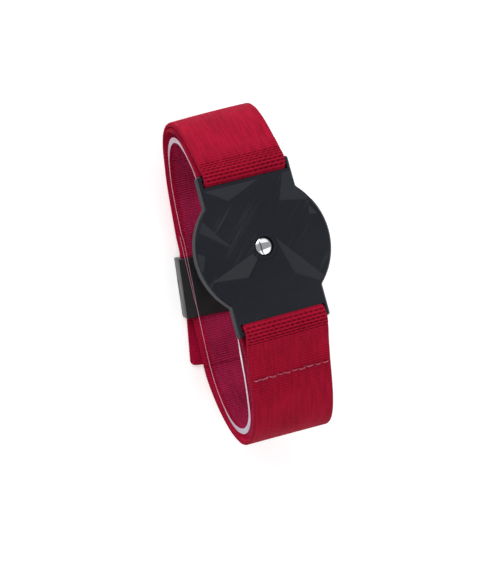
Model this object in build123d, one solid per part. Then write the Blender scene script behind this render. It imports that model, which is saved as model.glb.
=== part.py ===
from build123d import *
import math
import os

os.makedirs("parts", exist_ok=True)

# ---------------------------------------------------------------- driving sizes (mm)
# face plate frame: x across the strap, y along the plate, z out of its front face
DISC_R = 16.0          # round body of the face plate
LUG_HALF_W = 11.0      # lugs that carry the webbing
LUG_END = 18.9         # end of each lug from the bore
PLATE_T = 3.4
EDGE_BREAK = 0.35
SLOT_IN = 16.0         # webbing slot, inner and outer edge from the bore
SLOT_OUT = 17.6
SLOT_HALF_L = 10.2
CAVITY_R = 12.6
CAVITY_D = 2.0
BORE_R = 2.3           # front counterbore round the stud head
SHANK_HOLE_R = 1.06
COLLAR_R = 3.15
COLLAR_H = 0.16

BAND_T = 1.2           # webbing
BAND_HALF_W = 10.0
GAP = 0.12

FORMER_T = 1.45        # clear ring that keeps the empty strap open
FORMER_HALF_W = 9.4

BUCKLE_HALF_W = 11.8
BUCKLE_HALF_L = 7.6
BUCKLE_H = 4.8
BASE_T = 0.9
CHEEK_T = 1.2
CLAMPED_T = 0.96       # webbing where the buckle grips it
MAIN_U = 1.44          # depth below the base's inner face of the lower webbing layer
BAR_T = 0.7
BAR_U = 2.33
RETURN_U = 3.22
TAIL_U = 4.26
PIVOT_V = 1.2
PIVOT_U = 3.65
PIN_R = 0.6
NOSE_R = 1.68
TAIL_END_V = -20.8

TILT = 13.0            # the face plate leans by this from the buckle's plane
SKEW = 4.0             # the buckle sits this much askew on the webbing
PLATE_Z = 38.4 + BUCKLE_H
PLATE_Y = 9.5042         # puts the origin at the middle of the overall length
BUCKLE_Y = -13.5 + PLATE_Y

CT, ST = math.cos(math.radians(TILT)), math.sin(math.radians(TILT))
PLATE = Pos(0, PLATE_Y, PLATE_Z) * Rot(-TILT, 0, 0)
BUCKLE = Pos(0, BUCKLE_Y, BUCKLE_H) * Rot(0, 0, -SKEW)   # local z points into the loop, v is local y


def to_row(p):
    """A point (y, z) of the face plate's frame in the row frame."""
    y, z = p
    return (y * CT + z * ST + PLATE_Y, -y * ST + z * CT + PLATE_Z)


def smooth(pts, n=4, closed=False):
    """Catmull-Rom through the points, n steps to a span."""
    out = []
    m = len(pts)
    spans = m if closed else m - 1
    for i in range(spans):
        if closed:
            p0, p1, p2, p3 = pts[(i - 1) % m], pts[i], pts[(i + 1) % m], pts[(i + 2) % m]
        else:
            p1, p2 = pts[i], pts[i + 1]
            p0 = pts[i - 1] if i > 0 else (2 * p1[0] - p2[0], 2 * p1[1] - p2[1])
            p3 = pts[i + 2] if i + 2 < m else (2 * p2[0] - p1[0], 2 * p2[1] - p1[1])
        for k in range(n):
            t = k / n
            out.append(tuple(0.5 * (2 * p1[j] + (p2[j] - p0[j]) * t
                             + (2 * p0[j] - 5 * p1[j] + 4 * p2[j] - p3[j]) * t * t
                             + (3 * p1[j] - p0[j] - 3 * p2[j] + p3[j]) * t ** 3) for j in (0, 1)))
    if not closed:
        out.append(tuple(pts[-1]))
    return out


def offset_line(pts, d, closed=False):
    """The polyline moved by d to its right-hand side."""
    out = []
    m = len(pts)
    for i in range(m):
        if closed:
            a, b = pts[(i - 1) % m], pts[(i + 1) % m]
        else:
            a, b = pts[max(i - 1, 0)], pts[min(i + 1, m - 1)]
        ty, tz = b[0] - a[0], b[1] - a[1]
        l = math.hypot(ty, tz)
        out.append((pts[i][0] + tz / l * d, pts[i][1] - ty / l * d))
    return out


def slab(outline, half_w):
    """A (y, z) outline extruded across the strap."""
    return extrude(make_face(Plane.YZ * Polyline(*outline, close=True)), half_w, both=True)


def ribbon(centre, t, half_w):
    a = offset_line(centre, t / 2)
    b = offset_line(centre, -t / 2)
    return slab(a + b[::-1], half_w)


def save(shape, name):
    shape.label = name
    export_step(shape, "parts/" + name + ".step")


# ---------------------------------------------------------------- face plate
outline = Circle(DISC_R) + Rectangle(2 * LUG_HALF_W, 2 * LUG_END)
notch = [v for v in outline.vertices() if abs(abs(v.X) - LUG_HALF_W) < 0.01 and abs(v.Y) < LUG_END - 0.1]
tips = [v for v in outline.vertices() if abs(abs(v.X) - LUG_HALF_W) < 0.01 and abs(v.Y) > LUG_END - 0.1]
outline = fillet(notch, 0.9)
tips = [v for v in outline.vertices() if abs(abs(v.X) - LUG_HALF_W) < 0.01 and abs(v.Y) > LUG_END - 0.1]
outline = fillet(tips, 0.6)
body = extrude(outline, -PLATE_T)
body = chamfer(body.faces().sort_by(Axis.Z)[-1].edges(), EDGE_BREAK)
BAR_R = 0.5            # the bar beside each slot is rounded where the webbing turns over it
bar_y = SLOT_OUT + BAR_R
lip = BAR_R * math.sin(math.radians(45))
for s in (1, -1):
    throat = make_face(Plane.YZ * (
        Polyline((s * bar_y, 0), (s * bar_y, 1), (s * SLOT_IN, 1), (s * SLOT_IN, -PLATE_T - 1),
                 (s * bar_y, -PLATE_T - 1), (s * bar_y, -PLATE_T))
        + ThreePointArc((s * bar_y, -PLATE_T), (s * (bar_y - lip), -PLATE_T + BAR_R - lip), (s * SLOT_OUT, -PLATE_T + BAR_R))
        + Line((s * SLOT_OUT, -PLATE_T + BAR_R), (s * SLOT_OUT, -BAR_R))
        + ThreePointArc((s * SLOT_OUT, -BAR_R), (s * (bar_y - lip), -BAR_R + lip), (s * bar_y, 0))))
    body -= extrude(throat, SLOT_HALF_L, both=True)
body -= Pos(0, 0, -PLATE_T - 0.01) * Cylinder(CAVITY_R, CAVITY_D + 0.01, align=(Align.CENTER, Align.CENTER, Align.MIN))

# shallow facets: hinge edge at the surface, deep point below it, then the facet's corners
FACETS = [
    ((-10.2, 15.2), (2.8, 15.2), (-5.1, 11.7), 0.42, [(-10.2, 15.2), (-5.1, 11.7), (2.8, 15.2)]),
    ((8.7, 15.2), (11.6, 15.6), (9.5, 8.5), 0.55, [(8.7, 15.2), (6.2, 9.2), (13.4, 7.7), (16.5, 9.0), (12.6, 15.7)]),
    ((11.8, 6.6), (13.8, 6.5), (13.4, 4.3), 0.22, [(12.8, 6.55), (12.3, 4.6), (14.8, 4.0)]),
    ((3.0, 1.4), (11.9, -9.9), (5.4, -7.9), 0.6, [(3.0, 1.4), (5.4, -7.9), (11.0, -11.0), (11.9, -9.9)]),
    ((-1.7, -0.5), (-13.9, -5.1), (-5.0, -6.2), 0.5, [(-1.7, -0.5), (-13.9, -5.1), (-5.0, -6.2), (-1.6, -1.9)]),
    ((-12.6, 8.8), (-7.4, 1.3), (-14.1, 6.5), 0.4, [(-12.6, 8.8), (-14.1, 6.5), (-7.4, 1.3)]),
    ((-15.7, 2.2), (-13.9, 0.9), (-15.0, -2.4), 0.4, [(-15.7, 2.2), (-15.9, -2.2), (-15.0, -2.4), (-13.9, 0.9)]),
]
for p, q, deep, depth, corners in FACETS:
    n = Vector(q[0] - p[0], q[1] - p[1], 0).cross(Vector(deep[0] - p[0], deep[1] - p[1], -depth)).normalized()
    if n.Z < 0:
        n = n * -1
    above = Plane(origin=(p[0], p[1], 0), z_dir=n).location * Box(80, 80, 6, align=(Align.CENTER, Align.CENTER, Align.MIN))
    prism = Pos(0, 0, -2) * extrude(make_face(Polyline(*corners, close=True)), 4)
    body -= prism & above
body += Pos(0, 0, -0.4) * Cylinder(COLLAR_R, 0.4 + COLLAR_H, align=(Align.CENTER, Align.CENTER, Align.MIN))
rim = [e for e in body.edges() if e.geom_type == GeomType.CIRCLE and abs(e.center().Z - COLLAR_H) < 0.01 and abs(e.radius - COLLAR_R) < 0.01]
body = chamfer(rim, 0.12)
body -= Pos(0, 0, -0.8) * Cylinder(BORE_R, 2, align=(Align.CENTER, Align.CENTER, Align.MIN))
body -= Cylinder(SHANK_HOLE_R, 10)
save(PLATE * body, "face_plate")

# ---------------------------------------------------------------- inner cover and skin contact
RIVET = (0.0, -9.0)
cover = Pos(0, 0, -4.3) * Cylinder(14.2, 0.9, align=(Align.CENTER, Align.CENTER, Align.MIN))
cover = fillet(cover.edges().group_by(Axis.Z)[0], 0.3)
cover += Pos(0, 0, -3.4) * (Cylinder(12.5, 0.8, align=(Align.CENTER, Align.CENTER, Align.MIN))
                            - Cylinder(11.5, 0.8, align=(Align.CENTER, Align.CENTER, Align.MIN)))
cover -= Pos(RIVET[0], RIVET[1], -5) * Cylinder(0.82, 3, align=(Align.CENTER, Align.CENTER, Align.MIN))
save(PLATE * cover, "back_cover")

disc = Pos(0, 0, -4.9) * Cylinder(13.2, 0.6, align=(Align.CENTER, Align.CENTER, Align.MIN))
disc = fillet(disc.edges().group_by(Axis.Z)[0], 0.28)
disc += Pos(0, 0, -5.08) * Cone(7.2, 8.0, 0.2, align=(Align.CENTER, Align.CENTER, Align.MIN))
disc -= Pos(RIVET[0], RIVET[1], -6) * Cylinder(0.82, 3, align=(Align.CENTER, Align.CENTER, Align.MIN))
disc -= Pos(RIVET[0], RIVET[1], -4.92) * Cylinder(1.45, 0.22, align=(Align.CENTER, Align.CENTER, Align.MIN))
save(PLATE * disc, "contact_disc")

rivet = Pos(0, 0, -4.9) * Cylinder(0.8, 1.95, align=(Align.CENTER, Align.CENTER, Align.MIN))
rivet += Pos(0, 0, -4.92) * Cylinder(1.4, 0.2, align=(Align.CENTER, Align.CENTER, Align.MIN))
rivet += Pos(0, 0, -3.18) * Cylinder(1.25, 0.23, align=(Align.CENTER, Align.CENTER, Align.MIN))
rivet -= Pos(0, 0, -4.2) * Cylinder(0.45, 2, align=(Align.CENTER, Align.CENTER, Align.MIN))
save(PLATE * Pos(RIVET[0], RIVET[1], 0) * rivet, "contact_rivet")


def tag(length):
    """A solder tag: ring at the origin, tail along +x, 0.2 thick, lying on z = 0."""
    t = Cylinder(1.5, 0.2, align=(Align.CENTER, Align.CENTER, Align.MIN))
    t += Pos(length / 2, 0, 0) * Box(length, 1.3, 0.2, align=(Align.CENTER, Align.CENTER, Align.MIN))
    return t


ctag = tag(4.2) - Cylinder(0.83, 2)
ctag -= Pos(3.5, 0, 0) * Cylinder(0.28, 2)
save(PLATE * Pos(RIVET[0], RIVET[1], -3.4) * Rot(0, 0, 38) * ctag, "contact_tag")

# ---------------------------------------------------------------- discharge stud and its fixings
stud = Pos(0, 0, -0.8) * Cylinder(1.98, 0.5, align=(Align.CENTER, Align.CENTER, Align.MIN))
DOME_R = 9.0
dome = Pos(0, 0, -0.12 - DOME_R) * Sphere(DOME_R)
stud = Pos(0, 0, -0.8) * Cylinder(1.98, 1.2, align=(Align.CENTER, Align.CENTER, Align.MIN)) & dome
stud += Pos(0, 0, -3.1) * Cylinder(1.0, 2.4, align=(Align.CENTER, Align.CENTER, Align.MIN))
save(PLATE * stud, "discharge_stud")

washer = Cylinder(2.2, 0.25, align=(Align.CENTER, Align.CENTER, Align.MIN)) - Cylinder(1.03, 2)
save(PLATE * Pos(0, 0, -1.65) * washer, "stud_washer")
stag = tag(4.4) - Cylinder(1.03, 2)
stag -= Pos(3.7, 0, 0) * Cylinder(0.28, 2)
save(PLATE * Pos(0, 0, -1.85) * Rot(0, 0, -8) * stag, "stud_tag")
nut = extrude(RegularPolygon(2.3, 6), 1.0) - Cylinder(1.02, 4)
nut = chamfer([e for e in nut.edges() if e.geom_type == GeomType.LINE and e.length > 1.5 and abs(e.center().Z - 0) < 0.01], 0.12)
save(PLATE * Pos(0, 0, -2.87) * nut, "stud_nut")

# current-limiting resistor between the two tags
RES_A = Vector(3.66, -0.51, -2.55)
RES_B = Vector(2.76, -6.85, -2.55)
axis = (RES_B - RES_A).normalized()
mid = (RES_A + RES_B) * 0.5
res_len = 3.3
res_plane = Plane(origin=mid, z_dir=axis)
res = res_plane.location * (Cylinder(0.72, res_len - 1.4)
                            + Pos(0, 0, (res_len / 2 - 0.45)) * Cylinder(0.82, 0.9)
                            + Pos(0, 0, -(res_len / 2 - 0.45)) * Cylinder(0.82, 0.9))
save(PLATE * res, "series_resistor")
leads = []
for end, sign, ztag in ((RES_A, -1, -1.66), (RES_B, 1, -3.36)):
    start = mid + axis * (sign * res_len / 2)
    straight = end - start
    rod = Plane(origin=start, z_dir=straight.normalized()).location * Cylinder(
        0.22, straight.length, align=(Align.CENTER, Align.CENTER, Align.MIN))
    rod += Pos(end.X, end.Y, end.Z) * Sphere(0.22)
    drop = ztag - end.Z
    rod += Pos(end.X, end.Y, min(end.Z, ztag)) * Cylinder(0.22, abs(drop), align=(Align.CENTER, Align.CENTER, Align.MIN))
    leads.append(PLATE * rod)
save(Compound(children=[l.solids()[0] for l in leads]), "resistor_leads")

# ---------------------------------------------------------------- clear former
FORMER_IN = [(17.0, -6.85), (20.6, -7.75), (22.9, -8.95), (26.0, -11.3), (28.5, -14.4), (29.75, -18.5), (29.45, -22.5),
             (27.8, -26.25), (24.95, -29.3), (21.5, -31.6), (17.5, -33.1), (13.2, -34.3), (8.8, -35.35), (4.45, -36.4),
             (0.25, -37.3), (-3.9, -38.2), (-8.1, -39.15), (-12.3, -40.1), (-16.6, -41.1), (-21.0, -41.9),
             (-25.4, -42.2), (-29.65, -41.5), (-33.64, -39.56), (-36.87, -36.61), (-39.0, -32.9), (-40.0, -28.7),
             (-39.9, -24.4), (-38.7, -20.3), (-36.5, -16.6), (-33.3, -13.7), (-29.5, -11.5), (-25.2, -9.9),
             (-20.9, -8.8), (-16.65, -8.1), (-12.4, -7.7), (-8.0, -7.45), (-3.7, -7.3), (0.7, -7.15), (5.0, -7.0),
             (9.4, -6.9), (13.8, -6.8)]
inner = [to_row(p) for p in smooth(FORMER_IN, 2, closed=True)]
outer = offset_line(inner, -FORMER_T, closed=True)
former = slab(outer, FORMER_HALF_W) - slab(inner, FORMER_HALF_W + 1)
save(former, "clear_former")

# ---------------------------------------------------------------- webbing
# upper band: sewn-back end, round the plate's upper bar, over the top, down the back to the buckle
UPPER = [(32.4, -21.2), (32.55, -18.1), (31.05, -13.2), (27.9, -9.5), (24.2, -6.9), (21.6, -5.6), (19.7, -4.5),
         (18.9, -4.12), (18.1, -4.12)]
UPPER_B = [(16.88, -2.9), (16.88, -1.7), (16.88, -0.5)]
UPPER_C = [(18.1, 0.72), (18.6, 0.72), (19.3, 0.5), (20.1, -0.1), (21.3, -1.0), (22.85, -2.0), (24.4, -3.3),
           (26.3, -4.7), (28.2, -6.35), (29.9, -8.15), (31.95, -11.0), (33.35, -14.3), (33.9, -17.5), (33.85, -20.8),
           (32.85, -24.3), (30.85, -27.35), (28.6, -29.4), (26.4, -30.95), (22.5, -33.5), (18.15, -35.5), (13.75, -37.2),
           (10.6, -38.4), (8.3, -39.16)]


def corner(cy, cz, r, a0, a1, n=4):
    return [(cy + r * math.cos(math.radians(a0 + (a1 - a0) * k / n)),
             cz + r * math.sin(math.radians(a0 + (a1 - a0) * k / n))) for k in range(1, n)]


WRAP_R = 1.22
upper_path = [to_row(p) for p in smooth(UPPER, 3)]
upper_path += [to_row(p) for p in corner(18.1, -2.9, WRAP_R, -90, -180)]
upper_path += [to_row(p) for p in UPPER_B]
upper_path += [to_row(p) for p in corner(18.1, -0.5, WRAP_R, 180, 90)]
upper_path += [to_row(p) for p in smooth(UPPER_C, 3)]
flat_z = BUCKLE_H - MAIN_U
upper_path = upper_path[:-1] + [(BUCKLE_Y + 11.0, flat_z), (BUCKLE_Y + 8.8, flat_z)]
upper_main = ribbon(upper_path, BAND_T, BAND_HALF_W)

# inside the buckle: under the cam, then up over the anchor bar and out as the free tail
RISE = [(1.4, MAIN_U), (0.4, 1.49), (-0.5, 1.77), (-1.3, 2.32), (-2.0, 3.08), (-2.68, 3.83), (-3.5, 4.21), (-4.4, TAIL_U)]
tail_path = [(10.7, MAIN_U), (6.0, MAIN_U)] + smooth(RISE, 2) + [(-8.0, TAIL_U), (-15.0, TAIL_U), (TAIL_END_V, TAIL_U)]


def in_buckle(path, t, half_w):
    return BUCKLE * ribbon([(v, -u) for v, u in path], t, half_w)


upper_band = upper_main + in_buckle(tail_path, CLAMPED_T, BAND_HALF_W)
save(upper_band, "upper_band")

# lower band: sewn-back end, round the plate's lower bar, round the bottom, up the back to the anchor bar
LOWER = [(-30.14, -8.3), (-27.2, -6.35), (-25.2, -5.35), (-22.9, -4.6), (-20.7, -4.22), (-19.6, -4.12), (-18.9, -4.12),
         (-18.1, -4.12)]
LOWER_B = [(-16.88, -2.9), (-16.88, -1.7), (-16.88, -0.5)]
LOWER_C = [(-18.1, 0.72), (-18.6, 0.72), (-19.4, 0.52), (-20.3, -0.05), (-21.7, -1.05), (-24.2, -2.9), (-27.05, -4.8),
           (-29.2, -6.15), (-33.4, -8.85), (-36.1, -10.95), (-38.3, -13.1), (-40.2, -15.5), (-41.6, -18.0),
           (-42.6, -21.2), (-43.0, -24.8), (-42.9, -28.6), (-42.0, -32.4), (-40.5, -36.0), (-38.4, -39.0),
           (-36.1, -41.4), (-33.7, -43.3), (-31.2, -44.8), (-28.4, -46.1), (-25.5, -46.75), (-23.2, -46.49)]
lower_path = [to_row(p) for p in smooth(LOWER, 3)]
lower_path += [to_row(p) for p in corner(-18.1, -2.9, WRAP_R, -90, 0)]
lower_path += [to_row(p) for p in LOWER_B]
lower_path += [to_row(p) for p in corner(-18.1, -0.5, WRAP_R, 0, 90)]
lower_path += [to_row(p) for p in smooth(LOWER_C, 3)]
lower_path = lower_path[:-1] + [(BUCKLE_Y - 20.0, flat_z), (BUCKLE_Y - 8.8, flat_z)]
lower_main = ribbon(lower_path, BAND_T, BAND_HALF_W)
ANCHOR_V = -4.3
anchor = [(-10.7, MAIN_U), (-7.0, MAIN_U), (ANCHOR_V, MAIN_U)]
anchor += corner(ANCHOR_V, BAR_U, RETURN_U - BAR_U, -90, 90, 8)
anchor += [(ANCHOR_V, RETURN_U)] + smooth([(-6.7, RETURN_U), (-7.6, 3.0), (-8.6, 2.72), (-9.6, 2.62), (-11.0, 2.62), (-12.6, 2.62)], 2)
lower_band = lower_main + in_buckle(anchor, CLAMPED_T, BAND_HALF_W)
save(lower_band, "lower_band")

# ---------------------------------------------------------------- seams: needle thread outside, bobbin thread inside
STITCH_L, STITCH_PITCH, STITCH_N = 1.35, 1.9, 10
THREAD = 0.28


def seam(place, out_d, in_d):
    """A row of stitches across x; place puts local z along the webbing's outward normal."""
    kids = []
    for k in range(STITCH_N):
        x = (k - (STITCH_N - 1) / 2) * STITCH_PITCH
        for d in (out_d, -in_d):
            bar = Pos(x, 0, d) * Box(STITCH_L, THREAD, THREAD)
            kids.append(place * fillet(bar.edges().filter_by(Axis.X), THREAD * 0.3))
    return Compound(children=[k.solids()[0] for k in kids])


def frame_at(y, z, ny, nz):
    """Placement at a face-plate-frame point with local z along the given normal."""
    yy, zz = to_row((y, z))
    a = math.degrees(math.atan2(-(ny * CT + nz * ST), -ny * ST + nz * CT))
    return Pos(0, yy, zz) * Rot(a, 0, 0)


save(seam(frame_at(33.92, -18.9, 1.0, 0.02), BAND_T / 2 + 0.19, 2.22), "upper_stitching")
save(seam(frame_at(-28.85, -5.93, -0.532, 0.847), BAND_T / 2 + 0.16, 2.03), "lower_stitching")
save(seam(BUCKLE * Pos(0, -10.9, -2.62) * Rot(180, 0, 0), CLAMPED_T / 2 + 0.16, 1.94), "buckle_stitching")

# ---------------------------------------------------------------- buckle
side = [(-BUCKLE_HALF_L, 0), (BUCKLE_HALF_L, 0), (BUCKLE_HALF_L, -BUCKLE_H), (-BUCKLE_HALF_L, -BUCKLE_H)]
cheek_face = make_face(Plane.YZ * Polyline(*side, close=True))
lower_corner = [v for v in cheek_face.vertices() if v.Y < 0 and v.Z < -1]
cheek_face = fillet(lower_corner, 0.9)
upper_corner = [v for v in cheek_face.vertices() if v.Y > 7 and v.Z < -1]
cheek_face = fillet(upper_corner, 0.7)
block = extrude(cheek_face, BUCKLE_HALF_W, both=True)
block = fillet([e for e in block.edges().filter_by(Axis.X) if abs(e.center().Z) < 0.01], 0.35)
channel = Pos(0, 0, -BASE_T) * Box(2 * (BUCKLE_HALF_W - CHEEK_T), 30, 20, align=(Align.CENTER, Align.CENTER, Align.MAX))
frame_body = block - channel
bar = Pos(0, -5.15, -BAR_U) * Box(2 * (BUCKLE_HALF_W - CHEEK_T) + 0.6, 2.5, BAR_T)
bar = fillet(bar.edges().filter_by(Axis.X), 0.32)
frame_body += bar
frame_body -= Pos(0, PIVOT_V, -PIVOT_U) * Rot(0, 90, 0) * Cylinder(PIN_R + 0.02, 40)
save(BUCKLE * frame_body, "buckle_frame")

pin = Pos(0, PIVOT_V, -PIVOT_U) * Rot(0, 90, 0) * Cylinder(PIN_R, 2 * BUCKLE_HALF_W - 0.1)
pin = chamfer(pin.edges().filter_by(GeomType.CIRCLE), 0.12)
save(BUCKLE * pin, "lever_pin")

# cam lever: barrel round the pin, a nose that bears on the webbing, a flat handle towards the upper band
hub_r = BUCKLE_H - PIVOT_U
# local y is v and local z is minus depth, so the nose points to +z
cam_pts = []
for k in range(0, 72):
    a = math.radians(k * 5)
    d = abs(((k * 5 - 100) + 180) % 360 - 180)
    r = hub_r + (NOSE_R - hub_r) * max(0.0, math.cos(math.radians(min(90.0, d * 1.2)))) ** 1.5
    cam_pts.append((PIVOT_V + r * math.cos(a), -PIVOT_U + r * math.sin(a)))
lever_half = BUCKLE_HALF_W - CHEEK_T - 0.3
lever = slab(cam_pts, lever_half)
handle = slab([(PIVOT_V, -BUCKLE_H), (7.3, -BUCKLE_H), (8.15, -BUCKLE_H + 0.25), (8.15, -BUCKLE_H + 0.65),
               (7.6, -BUCKLE_H + 0.88), (PIVOT_V, -BUCKLE_H + 0.95)], lever_half)
lever += handle
for i in range(3):
    lever -= Pos(0, 5.0 + 0.9 * i, -BUCKLE_H) * Rot(0, 90, 0) * Cylinder(0.16, 14)
lever -= Pos(0, PIVOT_V, -PIVOT_U) * Rot(0, 90, 0) * Cylinder(PIN_R + 0.06, 40)
save(BUCKLE * lever, "cam_lever")
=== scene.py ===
import bpy
import bmesh
import math
import numpy as np
from mathutils import Matrix, Vector


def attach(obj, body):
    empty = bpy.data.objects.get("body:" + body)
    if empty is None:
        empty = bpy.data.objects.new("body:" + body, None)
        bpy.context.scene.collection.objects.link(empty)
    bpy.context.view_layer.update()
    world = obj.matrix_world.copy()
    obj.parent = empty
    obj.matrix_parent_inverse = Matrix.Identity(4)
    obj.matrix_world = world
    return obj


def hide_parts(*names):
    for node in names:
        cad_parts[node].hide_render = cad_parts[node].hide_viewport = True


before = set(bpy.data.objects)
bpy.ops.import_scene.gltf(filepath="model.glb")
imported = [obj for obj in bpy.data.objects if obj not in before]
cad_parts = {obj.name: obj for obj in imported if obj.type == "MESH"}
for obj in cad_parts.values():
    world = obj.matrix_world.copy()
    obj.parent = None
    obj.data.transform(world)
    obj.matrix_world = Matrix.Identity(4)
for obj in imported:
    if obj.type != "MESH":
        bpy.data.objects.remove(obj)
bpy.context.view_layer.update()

MM = 0.001
rng = np.random.default_rng(7)

# ------------------------------------------------------------------ the CAD's own numbers, in mm
TILT, SKEW = 13.0, 4.0
PLATE_Y, PLATE_Z = 9.5042, 43.2
BUCKLE_Y, BUCKLE_H = -13.5 + PLATE_Y, 4.8
CT, ST = math.cos(math.radians(TILT)), math.sin(math.radians(TILT))
C5, S5 = math.cos(math.radians(SKEW)), math.sin(math.radians(SKEW))
BAND_T = 1.2
HALF_W = 10.0
CLAMPED_T = 0.96
MAIN_U, BAR_U, RETURN_U, TAIL_U = 1.44, 2.33, 3.22, 4.26
WRAP_R = 1.22
RIB = 0.70                 # weft ribs of the outer face
RIB_IN = 0.60              # finer ribs of the inner face and the edges
BRICK = 6 * 19.1 / 90      # open cells beside the slots


def to_row(p):
    y, z = p
    return (y * CT + z * ST + PLATE_Y, -y * ST + z * CT + PLATE_Z)


def plate_point(x, y, z):
    yy, zz = to_row((y, z))
    return Vector((x, yy, zz)) * MM


def plate_dir(x, y, z):
    return Vector((x, y * CT + z * ST, -y * ST + z * CT))


def smooth(pts, n=4, closed=False):
    out = []
    m = len(pts)
    for i in range(m if closed else m - 1):
        if closed:
            p0, p1, p2, p3 = pts[(i - 1) % m], pts[i], pts[(i + 1) % m], pts[(i + 2) % m]
        else:
            p1, p2 = pts[i], pts[i + 1]
            p0 = pts[i - 1] if i > 0 else (2 * p1[0] - p2[0], 2 * p1[1] - p2[1])
            p3 = pts[i + 2] if i + 2 < m else (2 * p2[0] - p1[0], 2 * p2[1] - p1[1])
        for k in range(n):
            t = k / n
            out.append(tuple(0.5 * (2 * p1[j] + (p2[j] - p0[j]) * t
                             + (2 * p0[j] - 5 * p1[j] + 4 * p2[j] - p3[j]) * t * t
                             + (3 * p1[j] - p0[j] - 3 * p2[j] + p3[j]) * t ** 3) for j in (0, 1)))
    if not closed:
        out.append(tuple(pts[-1]))
    return out


def corner(cy, cz, r, a0, a1, n=8):
    return [(cy + r * math.cos(math.radians(a0 + (a1 - a0) * k / n)),
             cz + r * math.sin(math.radians(a0 + (a1 - a0) * k / n))) for k in range(1, n)]


def step(x, a, b):
    """0 below a, 1 above b, smooth between."""
    t = np.clip((x - a) / (b - a), 0.0, 1.0)
    return t * t * (3 - 2 * t)


# ------------------------------------------------------------------ camera, at the photograph's viewing angle
CAM_R = ((0.93392, -0.26175, 0.24349), (-0.24801, -0.96493, -0.08602), (0.25747, 0.01995, -0.96608))
cam_data = bpy.data.cameras.new("camera")
cam_data.sensor_fit = "HORIZONTAL"
cam_data.sensor_width = 36.0
cam_data.lens = 122.4
cam_data.clip_start = 0.01
cam_data.clip_end = 20.0
camera = bpy.data.objects.new("camera", cam_data)
bpy.context.scene.collection.objects.link(camera)
cx = plate_dir(*CAM_R[0]).normalized()
cy = -plate_dir(*CAM_R[1]).normalized()
cz = cx.cross(cy).normalized()
cy = cz.cross(cx)
rot = Matrix((cx, cy, cz)).transposed().to_4x4()
camera.matrix_world = Matrix.Translation(plate_point(-104.64, -15.4, 371.54)) @ rot
bpy.context.scene.camera = camera


# ------------------------------------------------------------------ mesh helpers
def link(name, me):
    ob = bpy.data.objects.new(name, me)
    bpy.context.scene.collection.objects.link(ob)
    return ob


def mesh_from(name, verts_mm, faces, smooth_shade=True):
    me = bpy.data.meshes.new(name)
    me.from_pydata((np.asarray(verts_mm, float) * MM).tolist(), [], faces)
    if smooth_shade:
        me.polygons.foreach_set("use_smooth", np.ones(len(me.polygons), bool))
    me.validate()
    me.update()
    return link(name, me)


def add_vector(me, name, data):
    a = me.attributes.new(name, "FLOAT_VECTOR", "POINT")
    a.data.foreach_set("vector", np.asarray(data, np.float32).ravel())


def add_value(me, name, data):
    a = me.attributes.new(name, "FLOAT", "POINT")
    a.data.foreach_set("value", np.asarray(data, np.float32).ravel())


def ring_faces(rows, cols, cap=True):
    """Quads of a tube of closed cross-sections, rows one after another."""
    i = np.arange(rows - 1)[:, None] * cols
    j = np.arange(cols)[None, :]
    k = (j + 1) % cols
    q = np.stack([i + j, i + k, i + cols + k, i + cols + j], -1).reshape(-1, 4)
    faces = q.tolist()
    if cap:
        faces.append(list(range(cols))[::-1])
        faces.append(list(range((rows - 1) * cols, rows * cols)))
    return faces


class Path:
    """A centre line in the loop's plane, by arc length."""

    def __init__(self, pts, side):
        p = np.asarray(pts, float)
        keep = np.r_[True, np.hypot(*(np.diff(p, axis=0).T)) > 1e-6]
        p = p[keep]
        self.p = p
        self.s = np.r_[0.0, np.cumsum(np.hypot(*(np.diff(p, axis=0).T)))]
        self.length = self.s[-1]
        self.side = side

    def at(self, s):
        h = 0.12
        y = np.interp(s, self.s, self.p[:, 0])
        z = np.interp(s, self.s, self.p[:, 1])
        ya, yb = np.interp(s - h, self.s, self.p[:, 0]), np.interp(s + h, self.s, self.p[:, 0])
        za, zb = np.interp(s - h, self.s, self.p[:, 1]), np.interp(s + h, self.s, self.p[:, 1])
        ty, tz = yb - ya, zb - za
        l = np.hypot(ty, tz)
        return y, z, -tz / l * self.side, ty / l * self.side

    def nearest(self, pt):
        d = np.hypot(self.p[:, 0] - pt[0], self.p[:, 1] - pt[1])
        return self.s[int(np.argmin(d))]


def wavy(x, y, seed, scale):
    """Cheap smooth noise, about -1 to 1."""
    g = np.random.default_rng(seed)
    out = 0
    for _ in range(5):
        a = g.uniform(0, 2 * math.pi)
        f = scale * g.uniform(0.6, 1.6)
        out = out + np.sin((x * math.cos(a) + y * math.sin(a)) * f + g.uniform(0, 6.28))
    return out / 3.0


# ------------------------------------------------------------------ webbing
N_OUT, N_IN, N_EDGE = 90, 26, 5
EDGE_R = 0.45


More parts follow.
